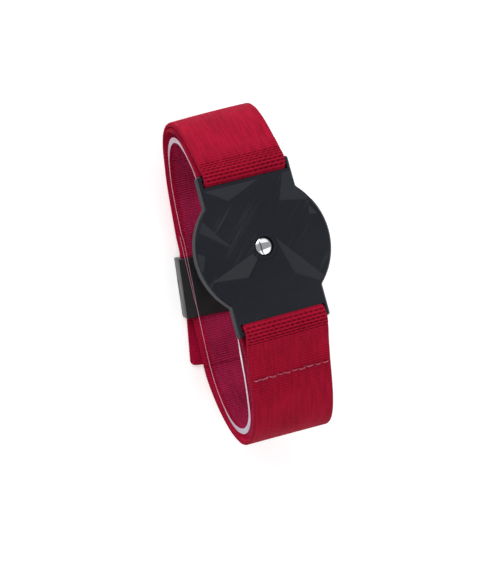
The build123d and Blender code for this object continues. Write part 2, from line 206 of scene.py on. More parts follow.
def webbing(name, path, origin, brick, ribs, lines, inner_rib, place, thick, fill, lift, seams=(), half=None):
    """A woven band along path. origin is the arc length at the slot, where the cells are in step.
    brick, ribs and lines give the depth of the open cells, the cross ribs and the lengthwise lines at each arc length."""
    n = int(path.length / (RIB / 6))
    s = origin % (RIB / 6) + np.arange(n) * RIB / 6
    s = s[(s > 0.02) & (s < path.length - 0.02)]
    s = np.r_[0.0, s, path.length]
    y, z, ny, nz = path.at(s)
    S = s[:, None]
    hw = (half(s) if half else np.full_like(s, HALF_W))[:, None]
    flat = hw - EDGE_R

    ph = (S - origin) / RIB
    row = np.round(ph)

    u = np.linspace(-1, 1, N_OUT + 1)[None, :]
    U = u * flat
    wob = 0.05 * wavy(S, U, 3, 0.45)
    r = np.abs(np.sin(math.pi * (ph + wob)))
    cell = (u * 9.55 / BRICK + 0.5 * (row % 2)) % 1.0
    dash = step(0.5 - np.abs(cell - 0.5), 0.08, 0.24)
    hole = dash * step(1 - r, 0.12, 0.62)
    b = brick(S)
    wear = 1 + 0.22 * wavy(S, U, 11, 0.9)
    # painted shade: the open cells and, below, the rib valleys get a weight that darkens the colour
    shade_o = b * hole
    grooves = 0.5 - 0.5 * np.cos(2 * math.pi * U / (BRICK / 2))
    ht = thick(S) / 2
    top = ht + fill(S) - 0.02 - ribs(S) * wear * (1 - r ** 0.7) - 0.24 * b * hole - lines(S) * grooves
    for s0, width, depth in seams:
        top = top - depth * np.exp(-((S - s0) / width) ** 2)
    rib_shade = ribs(S) / 0.12 * (1 - r)
    shade_o = np.clip(shade_o + 0.34 * rib_shade, 0, 1) * np.ones_like(U)

    ui = np.linspace(1, -1, N_IN + 1)[None, :]
    Ui = ui * flat
    phi = (S - origin) / RIB_IN
    vi = 0.5 + 0.5 * np.cos(2 * math.pi * (phi + 0.05 * wavy(S, Ui, 5, 0.45)))
    strength = 1 + 0.25 * wavy(S, Ui, 13, 0.5)
    low = -(ht - 0.02 - inner_rib * strength * vi) * np.ones_like(Ui)
    # painted shade weight for the inner rib valleys
    shade_i = np.clip(0.72 * strength * vi ** 1.3, 0, 1) * np.ones_like(Ui)

    th = np.radians(np.linspace(90, -90, N_EDGE + 2))[None, 1:-1]
    ve = 0.5 + 0.5 * np.cos(2 * math.pi * phi)
    swell = 1 - 0.30 * ve ** 1.5
    ex = flat + EDGE_R * np.cos(th) * swell
    to, bo = top[:, -1:], low[:, :1]
    ed = np.where(np.sin(th) > 0, np.sin(th) * to, -np.sin(th) * bo) * (0.5 + 0.5 * swell)
    # painted shade weight for the rib valleys on the edges
    shade_e = 0.75 * ve ** 1.5 * np.ones_like(ex)
    ex2, ed2 = -ex[:, ::-1], np.where(np.sin(th) > 0, np.sin(th) * top[:, :1], -np.sin(th) * low[:, -1:])[:, ::-1] * (0.5 + 0.5 * swell)

    X = np.concatenate([U, ex, Ui, ex2], 1)
    D = np.concatenate([top * np.ones_like(U), ed, low, ed2], 1)
    SHADE = np.concatenate([shade_o, shade_e, shade_i, shade_e], 1)
    side = np.concatenate([np.zeros_like(U), np.full_like(ex, 0.5), np.ones_like(Ui), np.full_like(ex, 0.5)], 1) * np.ones_like(S)
    D2 = D + lift(S, X)
    Y = y[:, None] + ny[:, None] * D2
    Z = z[:, None] + nz[:, None] * D2
    XX, YY = place(S, X, Y, Z)
    # side 0.72: inner face outside the film, beside its edge and on the free tail, kept out of the painted film haze
    side = np.where((side > 0.9) & (np.abs(X) > 8.0), 0.72, side)      # beside the film's edge
    if name == "upper_webbing":      # the free tail is not behind the film
        side = np.where((side > 0.9) & (YY < -10.5) & (Z < 8.0), 0.72, side)
    verts = np.stack([XX, YY, Z], -1).reshape(-1, 3)
    rows, cols = X.shape
    ob = mesh_from(name, verts, ring_faces(rows, cols))
    add_vector(ob.data, "weave", np.stack([X, S * np.ones_like(X), side], -1).reshape(-1, 3))
    # the painted shade weights, read by the material
    add_value(ob.data, "cavity", SHADE)
    return ob


UPPER = [(32.4, -21.2), (32.55, -18.1), (31.05, -13.2), (27.9, -9.5), (24.2, -6.9), (21.6, -5.6), (19.7, -4.5),
         (18.9, -4.12), (18.1, -4.12)]
UPPER_B = [(16.88, -2.9), (16.88, -1.7), (16.88, -0.5)]
UPPER_C = [(18.1, 0.72), (18.6, 0.72), (19.3, 0.5), (20.1, -0.1), (21.3, -1.0), (22.85, -2.0), (24.4, -3.3),
           (26.3, -4.7), (28.2, -6.35), (29.9, -8.15), (31.95, -11.0), (33.35, -14.3), (33.9, -17.5), (33.85, -20.8),
           (32.85, -24.3), (30.85, -27.35), (28.6, -29.4), (26.4, -30.95), (22.5, -33.5), (18.15, -35.5), (13.75, -37.2),
           (10.6, -38.4), (8.3, -39.16)]
LOWER = [(-30.14, -8.3), (-27.2, -6.35), (-25.2, -5.35), (-22.9, -4.6), (-20.7, -4.22), (-19.6, -4.12), (-18.9, -4.12),
         (-18.1, -4.12)]
LOWER_B = [(-16.88, -2.9), (-16.88, -1.7), (-16.88, -0.5)]
LOWER_C = [(-18.1, 0.72), (-18.6, 0.72), (-19.4, 0.52), (-20.3, -0.05), (-21.7, -1.05), (-24.2, -2.9), (-27.05, -4.8),
           (-29.2, -6.15), (-33.4, -8.85), (-36.1, -10.95), (-38.3, -13.1), (-40.2, -15.5), (-41.6, -18.0),
           (-42.6, -21.2), (-43.0, -24.8), (-42.9, -28.6), (-42.0, -32.4), (-40.5, -36.0), (-38.4, -39.0),
           (-36.1, -41.4), (-33.7, -43.3), (-31.2, -44.8), (-28.4, -46.1), (-25.5, -46.75), (-23.2, -46.49)]
flat_z = BUCKLE_H - MAIN_U


def in_buckle(path):
    return [(v + BUCKLE_Y, BUCKLE_H - u) for v, u in path]


upper = [to_row(p) for p in smooth(UPPER, 8)]
upper += [to_row(p) for p in corner(18.1, -2.9, WRAP_R, -90, -180)]
upper += [to_row(p) for p in UPPER_B]
upper += [to_row(p) for p in corner(18.1, -0.5, WRAP_R, 180, 90)]
upper += [to_row(p) for p in smooth(UPPER_C, 8)][:-1]
RISE = [(1.4, MAIN_U), (0.4, 1.49), (-0.5, 1.77), (-1.3, 2.32), (-2.0, 3.08), (-2.68, 3.83), (-3.5, 4.21), (-4.4, TAIL_U)]
upper += in_buckle([(11.0, MAIN_U), (8.8, MAIN_U), (6.0, MAIN_U)] + smooth(RISE, 6)
                   + [(-8.0, TAIL_U), (-15.0, TAIL_U), (-21.0, TAIL_U)])
lower = [to_row(p) for p in smooth(LOWER, 8)]
lower += [to_row(p) for p in corner(-18.1, -2.9, WRAP_R, -90, 0)]
lower += [to_row(p) for p in LOWER_B]
lower += [to_row(p) for p in corner(-18.1, -0.5, WRAP_R, 0, 90)]
lower += [to_row(p) for p in smooth(LOWER_C, 8)][:-1]
ANCHOR_V = -4.3
lower += [(BUCKLE_Y - 20.0, flat_z)]
lower += in_buckle([(-10.7, MAIN_U), (-7.0, MAIN_U), (ANCHOR_V, MAIN_U)]
                   + corner(ANCHOR_V, BAR_U, RETURN_U - BAR_U, -90, 90, 12)
                   + [(ANCHOR_V, RETURN_U)]
                   + smooth([(-6.7, RETURN_U), (-7.6, 3.0), (-8.6, 2.72), (-9.6, 2.62), (-11.0, 2.62), (-12.6, 2.62)], 5))
up = Path(upper, 1)
low = Path(lower, -1)

u0 = up.nearest(to_row((18.1, 0.72)))
l0 = low.nearest(to_row((-18.1, 0.72)))
u_apex = up.nearest(to_row((33.9, -18.5)))
u_seam = up.nearest(to_row((33.92, -18.9)))
l_seam = low.nearest(to_row((-28.85, -5.93)))
u_b0, u_b1 = up.nearest((BUCKLE_Y + 5.0, flat_z)), up.nearest((BUCKLE_Y - 2.5, BUCKLE_H - 3.6))
l_b0, l_b1 = low.nearest((BUCKLE_Y - 20.0, flat_z)), low.nearest((BUCKLE_Y - 8.8, flat_z))


def near(s, c, w):
    return np.exp(-((s - c) / w) ** 2)


def drift(Y, Z):
    """The loop leans a little to -x towards its back."""
    return 0.0105 * ((Y - PLATE_Y) * ST + (Z - PLATE_Z) * CT)


def turned(X, Y, v0, deg):
    a = np.radians(deg)
    v = Y - BUCKLE_Y - v0
    return X * np.cos(a) + v * np.sin(a), -X * np.sin(a) + v * np.cos(a) + BUCKLE_Y + v0


def place_upper(S, X, Y, Z):
    xx, yy = turned(X, Y, 0.0, TAIL_SKEW * step(S, u_b0, u_b1))
    return xx + drift(Y, Z), yy


def place_lower(S, X, Y, Z):
    return X + drift(Y, Z), Y


TAIL_SKEW = 7.5
u_top = up.nearest(to_row((31.95, -11.0)))
l_low = low.nearest(to_row((-40.2, -15.5)))
l_bot = low.nearest(to_row((-43.0, -24.8)))


def lift_upper(s, x):
    return near(s, u_top + 3, 9.0) * (0.28 + 0.022 * x + 0.15 * (1 - (x / 10) ** 2))


def lift_lower(s, x):
    return near(s, l_low + 4, 10.5) * (0.62 + 0.042 * x) + 0.40 * near(s, l_bot + 3, 7.0) * (0.5 - 0.05 * x)


def lying_on(path, s_end, s_from, lift, press=0.0):
    """The sewn-back end lies against the layer outside it."""
    g = np.linspace(0, s_end, 160)
    y, z, _, _ = path.at(g)
    ko = path.s > s_from
    d = np.hypot(y[:, None] - path.p[None, ko, 0], z[:, None] - path.p[None, ko, 1])
    k = np.argmin(d, 1)
    gap = d[np.arange(len(g)), k] - BAND_T
    to = path.s[ko][k]
    w = 1 - step(gap, 0.35, 1.1)

    def shift(s, x):
        own = np.interp(s, g, gap * w) + press * (1 - step(s, 0.0, 4.5))
        other = lift(np.interp(s, g, to), x) * np.interp(s, g, w)
        return np.where(s < s_end, -(own + other), lift(s, x) * (s > s_from))
    return shift


upper_run = webbing(
    "upper_webbing", up, u0,
    brick=lambda s: step(s, u0 - 1.7, u0 - 1.0) * (1 - step(s, u0 + 3.2, u0 + 4.3)),
    ribs=lambda s: 0.03 + 0.10 * step(s, u0 - 3, u0 - 1) * (1 - step(s, u0 + 4.2, u0 + 7.5)) + 0.07 * (1 - step(s, u0 - 4, u0 - 2))
    + 0.05 * step(s, u_apex, u_apex + 5),
    lines=lambda s: 0.022 * step(s, u0 + 2, u0 + 6) + 0.004,
    inner_rib=0.15,
    place=place_upper,
    thick=lambda s: BAND_T - (BAND_T - CLAMPED_T) * step(s, u_b0 - 4, u_b0) - 0.8 * (1 - step(s, 0.0, 4.5)),
    fill=lambda s: 0.28 * step(s, u0 - 5.2, u0 - 4.0) * (1 - step(s, u0 - 2.2, u0 - 0.4)),
    lift=lying_on(up, u0 - 6.0, u0 + 1.0, lift_upper, press=0.4),
    seams=((u_seam, 0.55, 0.12),),
    half=lambda s: HALF_W - 0.12 * near(s, u0 - 0.9, 1.6)
    - 1.4 * (1 - np.sqrt(np.clip(1 - (np.clip(s - (up.length - 1.4), 0, 1.4) / 1.4) ** 2, 0, 1))),
)
lower_run = webbing(
    "lower_webbing", low, l0,
    brick=lambda s: step(s, l0 - 1.7, l0 - 1.0) * (1 - step(s, l0 + 2.5, l0 + 3.6)),
    ribs=lambda s: 0.03 + 0.09 * (1 - step(s, l0 + 15, l0 + 22)) + 0.05 * near(s, l_seam + 1.5, 5.0) + 0.05 * step(s, l0 + 34, l0 + 42),
    lines=lambda s: 0.004 + 0.045 * step(s, l0 + 13, l0 + 21) * (1 - step(s, l0 + 34, l0 + 42)),
    inner_rib=0.15,
    place=place_lower,
    thick=lambda s: BAND_T - (BAND_T - CLAMPED_T) * step(s, l_b1 - 3, l_b1),
    fill=lambda s: 0.32 * step(s, l0 - 5.2, l0 - 4.0) * (1 - step(s, l0 - 1.6, l0 + 0.4)),
    lift=lying_on(low, l0 - 6.0, l0 + 1.0, lift_lower),
    seams=((l_seam, 0.55, 0.14),),
    half=lambda s: HALF_W - 0.12 * near(s, l0 - 0.9, 1.6) + 0.12 * near(s, l_bot, 14.0),
)


# ------------------------------------------------------------------ thread
def stitches(name, place, n, pitch, length, out_d, in_d, seed, r=0.13, slack=0.0):
    """Two-ply lockstitches across x. place(x, d) gives the row-frame point at height d over the webbing's middle."""
    g = np.random.default_rng(seed)
    verts, faces = [], []
    for k in range(n):
        for d, outer in ((out_d, True), (-in_d, False)):
            jit = g.uniform(-1, 1, 6)
            xc = (k - (n - 1) / 2) * pitch + (0.16 * jit[0] if outer else 0)
            ln = length * (1 + (0.14 * jit[1] if outer else 0))
            drift = (0.22 * jit[2] if outer else 0) * (1 + slack)
            lift = r * 0.9 + (abs(jit[3]) * 0.10 * (1 + 2 * slack) if outer else 0)
            m = 15
            t = np.linspace(0, 1, m)
            sgn = 1 if outer else -1
            for ply in (0, 1):
                px = xc + (t - 0.5) * ln
                arch = np.sin(math.pi * np.clip(t, 0, 1)) ** 0.3
                pd = d + sgn * (lift * arch - 0.22 * (1 - arch))
                ps = drift * (t - 0.5) + 0.05 * np.sin(t * 5 + jit[4] * 3)
                tw = 2 * math.pi * (t * ln / 0.95) + math.pi * ply + jit[5]
                off = r * 0.5
                pd = pd + off * np.sin(tw)
                ps = ps + off * np.cos(tw)
                base = len(verts)
                for i in range(m):
                    rr = r * 0.62 * (1 + 0.35 * slack * jit[1])
                    for q in range(7):
                        a = 2 * math.pi * q / 7
                        verts.append(place(px[i], pd[i] + rr * math.cos(a), ps[i] + rr * math.sin(a)))
                for f in ring_faces(m, 7):
                    faces.append([base + i for i in f])
    return mesh_from(name, verts, faces)


def on_path(path, s0):
    y, z, ny, nz = path.at(np.array([s0]))
    y, z, ny, nz = y[0], z[0], ny[0], nz[0]
    ty, tz = nz, -ny

    def place(x, d, t):
        yy, zz = y + ny * d + ty * t, z + nz * d + tz * t
        return (x + drift(yy, zz), yy, zz)
    return place


upper_thread = stitches("upper_seam_thread", on_path(up, u_seam), 10, 1.9, 1.35, BAND_T / 2 - 0.14, 1.80, 21)
lower_thread = stitches("lower_seam_thread", on_path(low, l_seam), 10, 1.86, 1.6, BAND_T / 2 - 0.12, 1.78, 5, r=0.18, slack=1.0)
s_bt = low.nearest((BUCKLE_Y - 10.9, BUCKLE_H - 2.62))
buckle_thread = stitches("buckle_seam_thread", on_path(low, s_bt), 10, 1.9, 1.35, CLAMPED_T / 2 - 0.02, 1.86, 9)

# ------------------------------------------------------------------ clear former
FORMER_IN = [(17.0, -6.85), (20.6, -7.75), (22.9, -8.95), (26.0, -11.3), (28.5, -14.4), (29.75, -18.5), (29.45, -22.5),
             (27.8, -26.25), (24.95, -29.3), (21.5, -31.6), (17.5, -33.1), (13.2, -34.3), (8.8, -35.35), (4.45, -36.4),
             (0.25, -37.3), (-3.9, -38.2), (-8.1, -39.15), (-12.3, -40.1), (-16.6, -41.1), (-21.0, -41.9),
             (-25.4, -42.2), (-29.65, -41.5), (-33.64, -39.56), (-36.87, -36.61), (-39.0, -32.9), (-40.0, -28.7),
             (-39.9, -24.4), (-38.7, -20.3), (-36.5, -16.6), (-33.3, -13.7), (-29.5, -11.5), (-25.2, -9.9),
             (-20.9, -8.8), (-16.65, -8.1), (-12.4, -7.7), (-8.0, -7.45), (-3.7, -7.3), (0.7, -7.15), (5.0, -7.0),
             (9.4, -6.9), (13.8, -6.8)]
FORMER_T = 1.45
k0 = 14                      # the strip's ends lie over each other on the back
loop = FORMER_IN[k0 - 2:] + FORMER_IN[:k0 + 3]
former_line = Path([to_row(p) for p in smooth(loop, 6)], 1)


def former_mesh():
    s = np.linspace(0, former_line.length, 420)
    y, z, ny, nz = former_line.at(s)
    # the side away from the opening
    cy0, cz0 = np.mean(former_line.p[:, 0]), np.mean(former_line.p[:, 1])
    flip = np.sign((y - cy0) * ny + (z - cz0) * nz)
    flip = np.where(flip == 0, 1, flip)
    ny, nz = ny * flip, nz * flip
    lap = former_line.nearest(to_row(FORMER_IN[k0 + 2]))
    over0 = 1 - step(s, 15.5, 18.5)                       # start of the strip: the outer layer
    over1 = step(s, former_line.length - 18.5, former_line.length - 15.5)    # its end: the inner layer
    yp = (y - PLATE_Y) * CT - (z - PLATE_Z) * ST
    zp = (y - PLATE_Y) * ST + (z - PLATE_Z) * CT
    top_bend = np.exp(-((yp - 30.5) / 4.0) ** 2)
    low_bend = np.exp(-((yp + 40.0) / 5.0) ** 2)
    front = (1 - step(-zp, 17.0, 24.0)) * step(-yp, 17.0, 24.0) * (1 - low_bend)
    body = 0.55 + 0.85 * np.maximum(top_bend, low_bend) + 0.45 * front * (1 + 0.8 * (1 - step(-yp, 20.0, 27.0)))
    inner = -0.3 + 0.3 * np.maximum(top_bend, low_bend) + 0.95 * over0
    outer = inner + body - 0.22 * over0 - 0.22 * over1
    inner, outer = inner - 0.06 * over1, outer - 0.06 * over1
    turn = (s - (former_line.length - 17.0)) / 17.0
    xs = -0.28 * over0 * np.clip(1 - s / 17.0, 0, 1) + 0.28 * over1 * np.clip(1 - turn, 0, 1) - 0.35 * front
    half = 9.4
    rad = 0.10
    prof = []
    nseg = 3
    for (cxs, cds) in ((-1, -1), (1, -1), (1, 1), (-1, 1)):
        for q in range(nseg + 1):
            a0 = {(-1, -1): 180, (1, -1): 270, (1, 1): 0, (-1, 1): 90}[(cxs, cds)]
            a = math.radians(a0 + 90 * q / nseg)
            prof.append((cxs, cds, math.cos(a), math.sin(a)))
    nface = 8
    cols = []
    for i, (cxs, cds, ca, sa) in enumerate(prof):
        x = cxs * (half - rad) + rad * ca
        d = np.where(cds < 0, inner + rad, outer - rad) + rad * sa
        cols.append((x + xs, d))
    X = np.stack([np.broadcast_to(c[0], s.shape) for c in cols], 1)
    D = np.stack([c[1] for c in cols], 1)
    Y = y[:, None] + ny[:, None] * D
    Z = z[:, None] + nz[:, None] * D
    verts = np.stack([X + drift(Y, Z), Y, Z], -1).reshape(-1, 3)
    ob = mesh_from("clear_former_strip", verts, ring_faces(*X.shape))
    # painted reflection and painted highlight on the cut edges: pink and mauve where the red webbing would show in
    # them, lavender grey at the lower bend, white at the front's lower end as a painted highlight
    back = np.array((0.60, 0.27, 0.37))
    tint = back + (np.array((0.50, 0.34, 0.44)) - back) * top_bend[:, None]
    tint = tint + (np.array((0.42, 0.40, 0.50)) - tint) * low_bend[:, None]
    tint = tint + (np.array((0.78, 0.56, 0.64)) - tint) * front[:, None]
    tint = tint + (np.array((0.97, 0.95, 0.97)) - tint) * (front * (1 - step(-yp, 22.0, 31.0)))[:, None]
    add_vector(ob.data, "tint", np.repeat(tint, X.shape[1], 0))
    # second slot on the cut edges, which scatter light; their colour carries painted reflection and painted highlight
    me = ob.data
    nx = np.zeros(len(me.polygons) * 3)
    me.polygons.foreach_get("normal", nx)
    nx = np.abs(nx.reshape(-1, 3)[:, 0]) > 0.5
    me.polygons.foreach_set("material_index", nx.astype(np.int32))
    me.set_sharp_from_angle(angle=math.radians(40))
    return ob


former = former_mesh()


# ------------------------------------------------------------------ materials
def material(name):
    m = bpy.data.materials.new(name)
    m.use_nodes = True
    nt = m.node_tree
    return m, nt, nt.nodes["Principled BSDF"]


def node(nt, kind, **inputs):
    n = nt.nodes.new(kind)
    for k, v in inputs.items():
        if k.startswith("_"):
            setattr(n, k[1:], v)
        else:
            n.inputs[k.replace("_", " ")].default_value = v
    return n


def ramp(nt, stops):
    n = nt.nodes.new("ShaderNodeValToRGB")
    e = n.color_ramp.elements
    while len(e) > 1:
        e.remove(e[-1])
    e[0].position, e[0].color = stops[0][0], (*stops[0][1], 1) if len(stops[0][1]) == 3 else stops[0][1]
    for p, c in stops[1:]:
        x = e.new(p)
        x.color = (*c, 1)
    return n


def scaled(nt, source, scale):
    m = nt.nodes.new("ShaderNodeVectorMath")
    m.operation = "MULTIPLY"
    nt.links.new(source, m.inputs[0])
    m.inputs[1].default_value = scale
    return m.outputs[0]


def web_material(name, deep, mid, light, shade_colour):
    m, nt, b = material(name)
    L = nt.links.new
    at = node(nt, "ShaderNodeAttribute", _attribute_name="weave")
    cav = node(nt, "ShaderNodeAttribute", _attribute_name="cavity")
    streak = node(nt, "ShaderNodeTexNoise", Scale=1.0, Detail=3.0, Roughness=0.6)
    L(scaled(nt, at.outputs["Vector"], (1.9, 0.16, 4.0)), streak.inputs["Vector"])
    patch = node(nt, "ShaderNodeTexNoise", Scale=1.0, Detail=2.0, Roughness=0.5)
    L(scaled(nt, at.outputs["Vector"], (0.16, 0.12, 4.0)), patch.inputs["Vector"])
    yarn = node(nt, "ShaderNodeTexNoise", Scale=1.0, Detail=2.0, Roughness=0.7)
    L(scaled(nt, at.outputs["Vector"], (6.0, 3.2, 4.0)), yarn.inputs["Vector"])
    mix1 = node(nt, "ShaderNodeMath", _operation="MULTIPLY_ADD")
    L(streak.outputs["Fac"], mix1.inputs[0])
    mix1.inputs[1].default_value = 0.55
    add = node(nt, "ShaderNodeMath", _operation="MULTIPLY_ADD")
    L(patch.outputs["Fac"], add.inputs[0])
    add.inputs[1].default_value = 0.30
    add.inputs[2].default_value = 0.0
    L(add.outputs[0], mix1.inputs[2])
    mix2 = node(nt, "ShaderNodeMath", _operation="MULTIPLY_ADD")
    L(yarn.outputs["Fac"], mix2.inputs[0])
    mix2.inputs[1].default_value = 0.22
    L(mix1.outputs[0], mix2.inputs[2])
    cr = ramp(nt, [(0.34, deep), (0.53, mid), (0.74, light)])
    L(mix2.outputs[0], cr.inputs["Fac"])
    sp = node(nt, "ShaderNodeSeparateXYZ")
    L(at.outputs["Vector"], sp.inputs[0])
    # the inner face is lifted brighter and bluer: partly its own tone, partly painted light for the shaded inside of
    # the loop
    inside = node(nt, "ShaderNodeMix", _data_type="RGBA", _blend_type="MULTIPLY")
    within = node(nt, "ShaderNodeMapRange")
    L(sp.outputs["Z"], within.inputs["Value"])
    within.inputs["From Min"].default_value, within.inputs["From Max"].default_value = 0.6, 0.7
    L(within.outputs["Result"], inside.inputs[0])
    # painted film haze: on the inner face behind the clear former the webbing's colour is made greyer and more purple,
    # a painted reflection of the film that stays when the former slides out
    behind = node(nt, "ShaderNodeMapRange")
    L(sp.outputs["Z"], behind.inputs["Value"])
    behind.inputs["From Min"].default_value, behind.inputs["From Max"].default_value = 0.8, 1.0
    film_haze_paint = node(nt, "ShaderNodeMix", _data_type="RGBA", _blend_type="MULTIPLY")
    L(behind.outputs["Result"], film_haze_paint.inputs[0])
    film_haze_paint.inputs[7].default_value = (0.95, 3.3, 1.8, 1)
    L(cr.outputs["Color"], inside.inputs[6])
    inside.inputs[7].default_value = (1.42, 1.15, 1.9, 1)
    L(inside.outputs[2], film_haze_paint.inputs[6])
    # painted shade: the colour is mixed towards the shade colour in the cells and rib valleys
    shade = node(nt, "ShaderNodeMix", _data_type="RGBA")
    L(film_haze_paint.outputs[2], shade.inputs[6])
    shade.inputs[7].default_value = (*shade_colour, 1)
    cm = node(nt, "ShaderNodeMath", _operation="MULTIPLY")
    L(cav.outputs["Fac"], cm.inputs[0])
    cm.inputs[1].default_value = 0.8
    L(cm.outputs[0], shade.inputs[0])
    L(shade.outputs[2], b.inputs["Base Color"])
    b.inputs["Roughness"].default_value = 0.78
    b.inputs["Specular IOR Level"].default_value = 0.06
    b.inputs["Sheen Weight"].default_value = 0.04
    b.inputs["Sheen Roughness"].default_value = 0.45
    b.inputs["Sheen Tint"].default_value = (1.0, 0.16, 0.26, 1)
    # yarn relief too fine for the mesh
    wv = node(nt, "ShaderNodeTexWave", Scale=1.0, Distortion=1.2, Detail=1.0)
    wv.bands_direction = "X"
    L(scaled(nt, at.outputs["Vector"], (3.2, 0.9, 0.0)), wv.inputs["Vector"])
    bsum = node(nt, "ShaderNodeMath", _operation="MULTIPLY_ADD")
    L(wv.outputs["Fac"], bsum.inputs[0])
    bsum.inputs[1].default_value = 0.5
    L(yarn.outputs["Fac"], bsum.inputs[2])
    bump = node(nt, "ShaderNodeBump", Strength=0.55, Distance=0.00007)
    L(bsum.outputs[0], bump.inputs["Height"])
    L(bump.outputs["Normal"], b.inputs["Normal"])
    return m


# the last colour is the painted shade in the cells and rib valleys
webbing_mat = web_material("webbing_red", (0.27, 0.004, 0.021), (0.40, 0.0058, 0.030), (0.54, 0.009, 0.042), (0.10, 0.001, 0.008))

thread_mat, nt, b = material("thread_rose")
tc = node(nt, "ShaderNodeTexCoord")
no = node(nt, "ShaderNodeTexNoise", Scale=2600.0, Detail=3.0, Roughness=0.6)
nt.links.new(tc.outputs["Object"], no.inputs["Vector"])
cr = ramp(nt, [(0.3, (0.30, 0.018, 0.052)), (0.58, (0.46, 0.06, 0.12)), (0.80, (0.66, 0.24, 0.31))])
nt.links.new(no.outputs["Fac"], cr.inputs["Fac"])
nt.links.new(cr.outputs["Color"], b.inputs["Base Color"])
b.inputs["Roughness"].default_value = 0.55
b.inputs["Sheen Weight"].default_value = 0.3
b.inputs["Sheen Roughness"].default_value = 0.4


def shell_material(name, base, tint, rough, streak=0.0, scratch_dir=None, metallic=0.0, grain=900.0, depth=0.00002, spec=0.5, patchy=False):
    """Moulded or plated surface: slight tone variation, a fine grain, and long fine streaks in one direction."""
    m, nt, b = material(name)
    L = nt.links.new
    tc = node(nt, "ShaderNodeTexCoord")
    broad = node(nt, "ShaderNodeTexNoise", Scale=60.0, Detail=3.0, Roughness=0.6)
    L(tc.outputs["Object"], broad.inputs["Vector"])
    mp = node(nt, "ShaderNodeMapping")
    mp.vector_type = "TEXTURE"
    mp.inputs["Rotation"].default_value = (0, 0, math.radians(scratch_dir or 0.0))
    mp.inputs["Scale"].default_value = (1 / 1400.0, 1 / 60.0, 1 / 100.0)
    L(tc.outputs["Object"], mp.inputs["Vector"])
    lines = node(nt, "ShaderNodeTexNoise", Scale=1.0, Detail=2.0, Roughness=0.55)
    L(mp.outputs["Vector"], lines.inputs["Vector"])
    cr = ramp(nt, [(0.35, base), (0.7, tint)])
    L(broad.outputs["Fac"], cr.inputs["Fac"])
    lr = ramp(nt, [(0.56, (0, 0, 0)), (0.74, (1, 1, 1))])
    L(lines.outputs["Fac"], lr.inputs["Fac"])
    mix = node(nt, "ShaderNodeMix", _data_type="RGBA", _blend_type="ADD")
    ms = node(nt, "ShaderNodeMath", _operation="MULTIPLY")
    L(lr.outputs["Color"], ms.inputs[0])
    ms.inputs[1].default_value = streak
    if patchy:
        where = node(nt, "ShaderNodeTexNoise", Scale=95.0, Detail=1.0, Roughness=0.4)
        L(tc.outputs["Object"], where.inputs["Vector"])
        gate = ramp(nt, [(0.46, (0, 0, 0)), (0.60, (streak, streak, streak))])
        L(where.outputs["Fac"], gate.inputs["Fac"])
        L(gate.outputs["Color"], ms.inputs[1])
    L(ms.outputs[0], mix.inputs[0])
    L(cr.outputs["Color"], mix.inputs[6])
    mix.inputs[7].default_value = (0.02, 0.022, 0.025, 1)
    L(mix.outputs[2], b.inputs["Base Color"])
    rr = node(nt, "ShaderNodeMapRange")
    L(broad.outputs["Fac"], rr.inputs["Value"])
    rr.inputs["From Min"].default_value, rr.inputs["From Max"].default_value = 0.3, 0.7
    rr.inputs["To Min"].default_value, rr.inputs["To Max"].default_value = rough * 0.88, rough * 1.14
    L(rr.outputs["Result"], b.inputs["Roughness"])
    b.inputs["Metallic"].default_value = metallic
    b.inputs["Specular IOR Level"].default_value = spec
    gr = node(nt, "ShaderNodeTexNoise", Scale=grain, Detail=2.0, Roughness=0.5)
    L(tc.outputs["Object"], gr.inputs["Vector"])
    bs = node(nt, "ShaderNodeMath", _operation="MULTIPLY_ADD")
    L(lines.outputs["Fac"], bs.inputs[0])
    bs.inputs[1].default_value = 0.8 if streak else 0.1
    L(gr.outputs["Fac"], bs.inputs[2])
    bump = node(nt, "ShaderNodeBump", Strength=0.35, Distance=depth)
    L(bs.outputs[0], bump.inputs["Height"])
    L(bump.outputs["Normal"], b.inputs["Normal"])
    return m


plate_mat = shell_material("moulded_black", (0.0032, 0.0048, 0.0098), (0.0048, 0.0066, 0.0125), 0.24, streak=0.8, scratch_dir=-46.0, spec=0.36, patchy=True)
# painted light: the tilted facets and the side walls get lighter copies of the same black moulding, for how light falls
# on them
facet_painted_light_mat = shell_material("moulded_facet_painted_light", (0.0082, 0.0110, 0.0165), (0.0112, 0.0142, 0.0205), 0.40, grain=1300.0, spec=0.34)
wall_painted_light_mat = shell_material("moulded_wall_painted_light", (0.016, 0.019, 0.024), (0.024, 0.027, 0.032), 0.6, grain=1300.0, spec=0.12)
cover_mat = shell_material("cover_black", (0.012, 0.012, 0.013), (0.018, 0.018, 0.019), 0.55, grain=1500.0)
buckle_mat = shell_material("buckle_black", (0.010, 0.0105, 0.0115), (0.015, 0.0155, 0.017), 0.36, streak=0.15, scratch_dir=10.0, spec=0.3)
lever_mat = shell_material("lever_black", (0.010, 0.0105, 0.0115), (0.016, 0.0165, 0.018), 0.32, streak=0.2, scratch_dir=85.0)
steel_mat = shell_material("brushed_steel", (0.55, 0.55, 0.54), (0.64, 0.63, 0.62), 0.28, streak=0.5, scratch_dir=20.0, metallic=1.0)
pin_mat = shell_material("black_oxide", (0.02, 0.02, 0.022), (0.035, 0.035, 0.038), 0.35, metallic=0.6)
zinc_mat = shell_material("bright_zinc", (0.52, 0.53, 0.55), (0.62, 0.63, 0.64), 0.3, metallic=1.0)
stud_mat = shell_material("polished_stud", (0.66, 0.66, 0.69), (0.74, 0.74, 0.77), 0.055, metallic=1.0, depth=0.000002)
brass_mat = shell_material("tinned_brass", (0.60, 0.55, 0.42), (0.70, 0.66, 0.52), 0.35, metallic=1.0)
wire_mat = shell_material("tinned_wire", (0.62, 0.62, 0.60), (0.7, 0.7, 0.68), 0.3, metallic=1.0)

